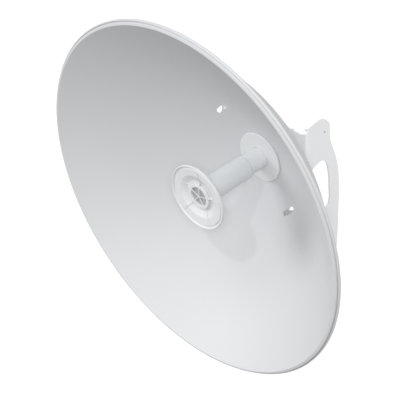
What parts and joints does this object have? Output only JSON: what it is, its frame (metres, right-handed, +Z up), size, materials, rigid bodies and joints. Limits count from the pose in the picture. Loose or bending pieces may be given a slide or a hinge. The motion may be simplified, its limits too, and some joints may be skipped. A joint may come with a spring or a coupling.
{
  "type": "dish antenna",
  "caption": "Round parabolic dish antenna with a rolled edge, a feed tube with a ribbed front cap, and a folded steel bracket with cut-out side plates behind it.",
  "frame": {"origin": "on the rear face of the bracket's web, on the symmetry plane, 90 mm below the dish's axis", "axes": "the dish looks along -Y, +X is to the right seen from the front, +Z is up"},
  "size_m": [0.65, 0.2539, 0.65],
  "materials": {
    "reflector_paint": "white powder coat, satin",
    "bracket_paint": "white powder coat, satin",
    "feed_plastic": "white moulded plastic",
    "window_plastic": "grey moulded plastic",
    "gasket_rubber": "black sheet rubber",
    "housing_plastic": "light grey moulded plastic",
    "zinc": "bright zinc plate",
    "connector_metal": "plated brass"
  },
  "bodies": {
    "root": {"reflector": "reflector_paint", "feed_flange": "feed_plastic", "feed_sleeve": "feed_plastic", "feed_tube": "feed_plastic", "front_cap": "feed_plastic", "cap_spider": "feed_plastic", "cap_window": "window_plastic", "seat_gasket": "gasket_rubber", "mount_bracket": "bracket_paint", "flange_screw_1": "zinc", "flange_screw_2": "zinc", "flange_screw_3": "zinc", "flange_screw_4": "zinc", "flange_washer_1": "zinc", "flange_washer_2": "zinc", "flange_washer_3": "zinc", "flange_washer_4": "zinc", "lock_ring": "housing_plastic", "rear_housing": "housing_plastic", "rear_cover": "housing_plastic", "rf_connector_left": "connector_metal", "rf_connector_right": "connector_metal"}
  },
  "joints": []
}
